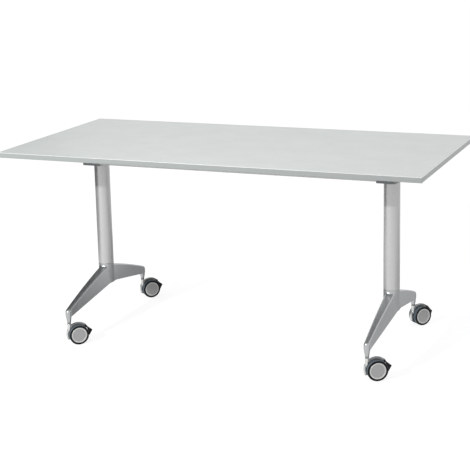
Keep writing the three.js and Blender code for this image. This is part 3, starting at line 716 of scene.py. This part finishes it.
# A point round the axle: degrees go from the trailing side up and over
def roundAxle(trail, radius, degrees):
    turn = math.radians(degrees)
    return trail + radius * math.cos(turn), castorLook["wheel"] + radius * math.sin(turn)


# Turns a form that stands on Z so that it lies on the axle, out to one side
def onAxle(solid, trail, side):
    place = Matrix.Translation((trail, 0, castorLook["wheel"]))
    return moved(solid, place @ Matrix.Rotation(-side * math.pi / 2, 4, "X"))


def hoodSolid(look, trail):
    sweep = evenly(*look["hoodSweep"], look["hoodSteps"])
    outline = [roundAxle(trail, look["hoodRadius"], turn) for turn in sweep]
    outline += [roundAxle(trail, look["waist"], degrees) for degrees in look["waistSweep"]]
    outline.append(roundAxle(trail, *look["heel"]))
    plate = softened(plateSolid(outline, look["hoodHalf"]), look["hoodEdge"], look["edgeSteps"])
    x, z = roundAxle(trail, *look["pivot"])
    half = look["hoodHalf"] - look["gap"]
    out = look["lug"]
    lug = turnedSolid([(0, -half), (out, -half), (out, half), (0, half)], look["lugSteps"])
    lug = moved(lug, Matrix.Translation((x, 0, z)) @ Matrix.Rotation(math.pi / 2, 4, "X"))
    return combined(plate, [lug], "UNION")


# The neck stands over the hood, is cut back beside the wheels and runs into a strap down the hood's front
def neckSolid(look, trail):
    high, out, soft = look["neckTop"], look["neck"], look["neckRound"]
    neck = turnedSolid([
        (0, look["neckFoot"]), (out - soft / 2, look["neckFoot"]), (out, look["neckFoot"] + soft / 2),
        *quarterArc((out - soft, high - soft), soft, soft, 0, look["softSteps"]), (0, high)],
        look["neckSteps"])
    room = turnedSolid([(0, look["hoodHalf"]), (look["wheelRoom"], look["hoodHalf"]),
                        (look["wheelRoom"], look["outer"]), (0, look["outer"])], look["wheelSteps"])
    neck = combined(neck, [onAxle(room, trail, side) for side in (1, -1)], "DIFFERENCE")
    turns = evenly(*look["strapSweep"], look["strapSteps"])
    low, high = look["strap"]
    outline = [roundAxle(trail, high, turn) for turn in turns]
    outline += [roundAxle(trail, low, turn) for turn in reversed(turns)]
    strap = softened(plateSolid(outline, look["strapHalf"]), look["hoodEdge"], look["edgeSteps"])
    return combined(neck, [strap], "UNION")


# Wheel profiles, as radius and distance from the castor's middle plane
def treadProfile(look):
    inside, outside = look["shoulder"]
    insideSteps, outsideSteps = look["shoulderSteps"]
    foot, corner = look["wheel"] - inside, (look["wheel"] - outside, look["treadOuter"] - outside)
    return [
        *quarterArc((foot, look["inner"] + inside), inside, inside, -math.pi / 2, insideSteps),
        *quarterArc(corner, outside, outside, 0, outsideSteps), (foot, look["treadOuter"])]


def discProfile(look):
    inner, face = look["inner"] + look["seat"], look["outer"] - look["sink"]
    core, side = look["disc"]
    step, soft, lip = look["treadOuter"] - look["discStep"], look["shoulder"][1], look["discLip"]
    foot = face - look["seat"]
    return [
        (0, inner), (core, inner), (core, step), (side, step),
        *quarterArc((side - soft, face - soft), soft, soft, 0, look["softSteps"]),
        (look["rimOuter"] + lip, face + lip), (look["rimOuter"], foot), (0, foot)]


def rimProfile(look):
    soft, steps = look["rimRound"], look["rimSteps"]
    foot = look["outer"] - look["sink"] - look["seat"]
    return [
        (look["rimInner"], foot), (look["rimOuter"], foot),
        *quarterArc((look["rimOuter"] - soft, look["outer"] - soft), soft, soft, 0, steps),
        *quarterArc((look["rimInner"] + soft, look["outer"] - soft), soft, soft, math.pi / 2, steps)]


def capProfile(look):
    face, out, crown = look["outer"] - look["sink"], look["rimInner"], look["capCrown"]
    foot = face - look["seat"]
    dome = [(out * (1 - share), face - crown + crown * math.sin(share * math.pi / 2))
            for share in evenly(0, 1, look["capSteps"])[:-1]]
    return [(0, foot), (out, foot), *dome, (0, face)]


# A wedge that narrows to its toe. Its inner face lies round the wheels when it is trodden down,
# and is drawn lifted from there
def pedalSolid(look, trail):
    pivot = Vector(roundAxle(trail, *look["pivot"]))
    lift = Matrix.Rotation(math.radians(look["pedalTravel"]), 2)
    turns = evenly(*look["pedalGripSweep"], look["gripSteps"])
    inner = [Vector(roundAxle(trail, look["pedalGrip"], turn)) for turn in turns]
    outline = [pivot + lift @ (spot - pivot) for spot in inner]
    outline += [roundAxle(trail, *look[name]) for name in ("pedalFoot", "pedalToe", "pedalBack", "pedalBrow")]
    half, toeHalf, spare = (look[name] for name in ("pedalHalf", "pedalToeHalf", "pedalSpare"))
    shoulder, toe = trail + look["pedalShoulder"], trail + look["pedalToe"][0]
    flanks = []
    for side in (1, -1):
        plan = [(shoulder, half), (toe, toeHalf), (toe + spare, toeHalf), (toe + spare, half + spare),
                (shoulder, half + spare)]
        flanks.append(loftedSolid([[(x, side * y, z) for x, y in plan] for z in (0, look["neckTop"])]))
    wedge = combined(plateSolid(outline, half), flanks, "DIFFERENCE")
    wedge = softened(wedge, look["pedalEdge"], look["edgeSteps"])
    low, high, foot, top = look["pedalSlot"]
    slot = [roundAxle(trail, *spot) for spot in ((low, foot), (high, foot), (high, top), (low, top))]
    wedge = combined(wedge, [plateSolid(slot, look["hoodHalf"] + look["gap"])], "DIFFERENCE")
    reach, out = half - look["pinInside"], look["pedalPin"]
    pin = turnedSolid([(0, -reach), (out, -reach), (out, reach), (0, reach)], look["pinSteps"])
    pin = moved(pin, Matrix.Translation((pivot.x, 0, pivot.y)) @ Matrix.Rotation(math.pi / 2, 4, "X"))
    return combined(wedge, [pin], "UNION")


def buildCastors(look):
    trail = castorPlace(places[0])[1]
    hood, neck, pedal = hoodSolid(look, trail), neckSolid(look, trail), pedalSolid(look, trail)
    rings = {
        "tread": (treadProfile(look), "wheel_plastic", tread),
        "disc": (discProfile(look), "black_plastic", wheelNylon),
        "rim": (rimProfile(look), "silver_plastic", rimSilver),
        "cap": (capProfile(look), "silver_plastic", capGrey),
    }
    for place in places:
        here = castorPlace(place)[0]
        addPiece(place + "_hood", moved(hood, here), place + "_castor", paintedShadeHoodGrey,
                 [place + "_castor_hood"])
        addPiece(place + "_neck", moved(neck, here), place + "_castor", paintedHighlightNeckSilver)
        addPiece(place + "_pedal", moved(pedal, here), place + "_pedal", blackNylon,
                 [place + "_brake_pedal"])
        for wheel, side in (("wheel_1", 1), ("wheel_2", -1)):
            node = place + "_" + wheel
            for part, (profile, slot, material) in rings.items():
                solid = moved(onAxle(turnedSolid(profile, look["wheelSteps"]), trail, side), here)
                addPiece(node + "_" + part, solid, node, material, [node] if part == "tread" else ())


buildCastors(castorLook)
print("castors built")

# Screws: pan heads with a cross recess, four under each bracket and two under the rod's saddle
screwLook = {
    "head": 5 * mm, "height": 3 * mm, "recess": (0.7 * mm, 2.6 * mm, 1.6 * mm), "shank": 2 * mm,
    "shankLength": 2.5 * mm, "bracketX": 48 * mm, "bracketEnds": 16 * mm, "plate": 3 * mm,
    "saddleScale": 0.62, "saddleEnds": 4 * mm, "crownTurns": (0.3, 0.6, 0.9, 1.2, 1.45), "crownPower": 0.6,
    "recessSpare": 1 * mm, "steps": 40,
}


# Stands on its head's seat, with the head down
def screwSolid(look):
    shank, length, out, height = (look[name] for name in ("shank", "shankLength", "head", "height"))
    crown = [(out * math.sin(turn), -height * math.cos(turn) ** look["crownPower"])
             for turn in look["crownTurns"]]
    head = turnedSolid([
        (0, -height), *crown, (out, 0), (shank, 0), (shank, length), (0, length)], look["steps"])
    thin, wide, deep = look["recess"]
    bars = [boxSolid((-x, -y, -height - look["recessSpare"]), (x, y, -height + deep))
            for x, y in ((thin, wide), (wide, thin))]
    return combined(head, bars, "DIFFERENCE")


def buildScrews(look):
    screw = screwSolid(look)
    for side in sides:
        low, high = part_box(side + "_bracket")
        middle = (low.x + high.x) / 2
        spots = [(middle + x, y, high.z - look["plate"]) for x in (-look["bracketX"], look["bracketX"])
                 for y in (low.y + look["bracketEnds"], high.y - look["bracketEnds"])]
        group = together([moved(screw, Matrix.Translation(spot)) for spot in spots])
        addPiece(side + "_bracket_screws", group, "top", zinc)
    low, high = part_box("rod_saddle")
    small = Matrix.Scale(look["saddleScale"], 4)
    ends = (low.y + look["saddleEnds"], high.y - look["saddleEnds"])
    spots = [((low.x + high.x) / 2, y, low.z) for y in ends]
    group = together([moved(screw, Matrix.Translation(spot) @ small) for spot in spots])
    addPiece("saddle_screws", group, "top", zinc)


buildScrews(screwLook)

# Lever grip: a moulded bar with round ends and finger ribs, slipped over the strap
gripLook = {
    "ribs": 9, "ribDepth": 0.35 * mm, "ribSpan": 0.72, "ends": 9 * mm, "endFace": 0.15 * mm,
    "endHeight": 0.45, "steps": 120, "ringSteps": 40, "roundPower": 4.0,
}


def gripSolid(look):
    low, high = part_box("lever_grip")
    middle, half = (low + high) / 2, (high - low) / 2
    power, thin = look["roundPower"], look["endHeight"]
    rings = []
    for x in evenly(-half.x, half.x, look["steps"]):
        toEnd = min(1.0, (half.x - abs(x) + look["endFace"]) / look["ends"])
        swell = math.sqrt(1 - (1 - toEnd) ** 2)
        inside = abs(x) < half.x * look["ribSpan"]
        rib = look["ribDepth"] * (1 - math.cos(2 * math.pi * look["ribs"] * x / half.x)) / 2 if inside else 0
        wide, high = half.y * swell, half.z * (thin + (1 - thin) * swell) - rib
        ring = []
        for turn in evenly(0, 2 * math.pi, look["ringSteps"])[:-1]:
            across, up = math.cos(turn), math.sin(turn)
            size = (abs(across) ** power + abs(up) ** power) ** (-1 / power)
            ring.append((middle.x + x, middle.y + wide * size * across, middle.z + high * size * up))
        rings.append(ring)
    return loftedSolid(rings)


addPiece("lever_grip_moulding", gripSolid(gripLook), "latch", blackNylon, ["lever_grip"])
print("screws and grip built")


# The other pieces keep their own solids: welded, with broken edges and smooth rounds
def smoothTree(crease):
    tree = bpy.data.node_groups.new("smoothRounds", "GeometryNodeTree")
    tree.interface.new_socket("Geometry", in_out="INPUT", socket_type="NodeSocketGeometry")
    tree.interface.new_socket("Geometry", in_out="OUTPUT", socket_type="NodeSocketGeometry")
    came = addNode(tree, "NodeGroupInput")
    angle = addNode(tree, "GeometryNodeInputMeshEdgeAngle")
    sharp = addNode(tree, "FunctionNodeCompare", {
        0: angle, 1: math.radians(crease)}, operation="GREATER_THAN")
    shown = addNode(tree, "GeometryNodeSetMeshNormal", {
        "Mesh": came, "Remove Custom": True, "Edge Sharpness": sharp, "Face Sharpness": False})
    addNode(tree, "NodeGroupOutput", {0: shown})
    return tree


keptLook = {
    "crease": 32, "steps": 2, "flat": 0.5,
    "edges": {  # broken edge of each kind of piece
        "bracket": 0.5 * mm, "pawl": 0.6 * mm, "lock_disc": 0.5 * mm, "front_rail": 0.8 * mm,
        "release_lever": 0.8 * mm, "rod_saddle": 1.2 * mm, "column_head": 0.5 * mm, "cross_cap": 0.5 * mm,
    },
}
keptPieces = {
    "left_bracket": greyCoat, "right_bracket": greyCoat, "left_pawl": greyCoat, "right_pawl": greyCoat,
    "release_lever": greyCoat, "cross_tube": silverCoat, "front_rail": silverCoat,
    "left_column_head": casting, "right_column_head": casting, "rod_saddle": blackNylon,
    **{side + "_" + name: blackNylon for side in sides for name in ("inner_bush", "outer_bush", "cross_cap")},
    **{side + "_" + name: zinc for side in sides
       for name in ("foot_bolt", "column_plug", "lock_disc", "stop_pin")},
    **{place + "_castor_stem": paintedShadeHoodGrey for place in places},
    **{place + "_castor_axle": zinc for place in places},
    "release_rod": zinc,
}


def finishKept(look, pieces):
    tree = smoothTree(look["crease"])
    for name, material in pieces.items():
        piece = frame["nodes"][name]
        for held in piece.material_slots:
            held.material = material
        piece.modifiers.new("weld", "WELD").merge_threshold = weldGap
        flat = piece.modifiers.new("flat", "DECIMATE")
        flat.decimate_type, flat.angle_limit = "DISSOLVE", math.radians(look["flat"])
        width = next((size for kind, size in look["edges"].items() if name.endswith(kind)), 0)
        if width:
            broken = piece.modifiers.new("broken", "BEVEL")
            broken.width, broken.segments, broken.limit_method = width, look["steps"], "ANGLE"
            broken.angle_limit = math.radians(look["crease"])
        piece.modifiers.new("smooth", "NODES").node_group = tree


finishKept(keptLook, keptPieces)
print("kept pieces finished:", len(keptPieces))

bpy.context.view_layer.update()
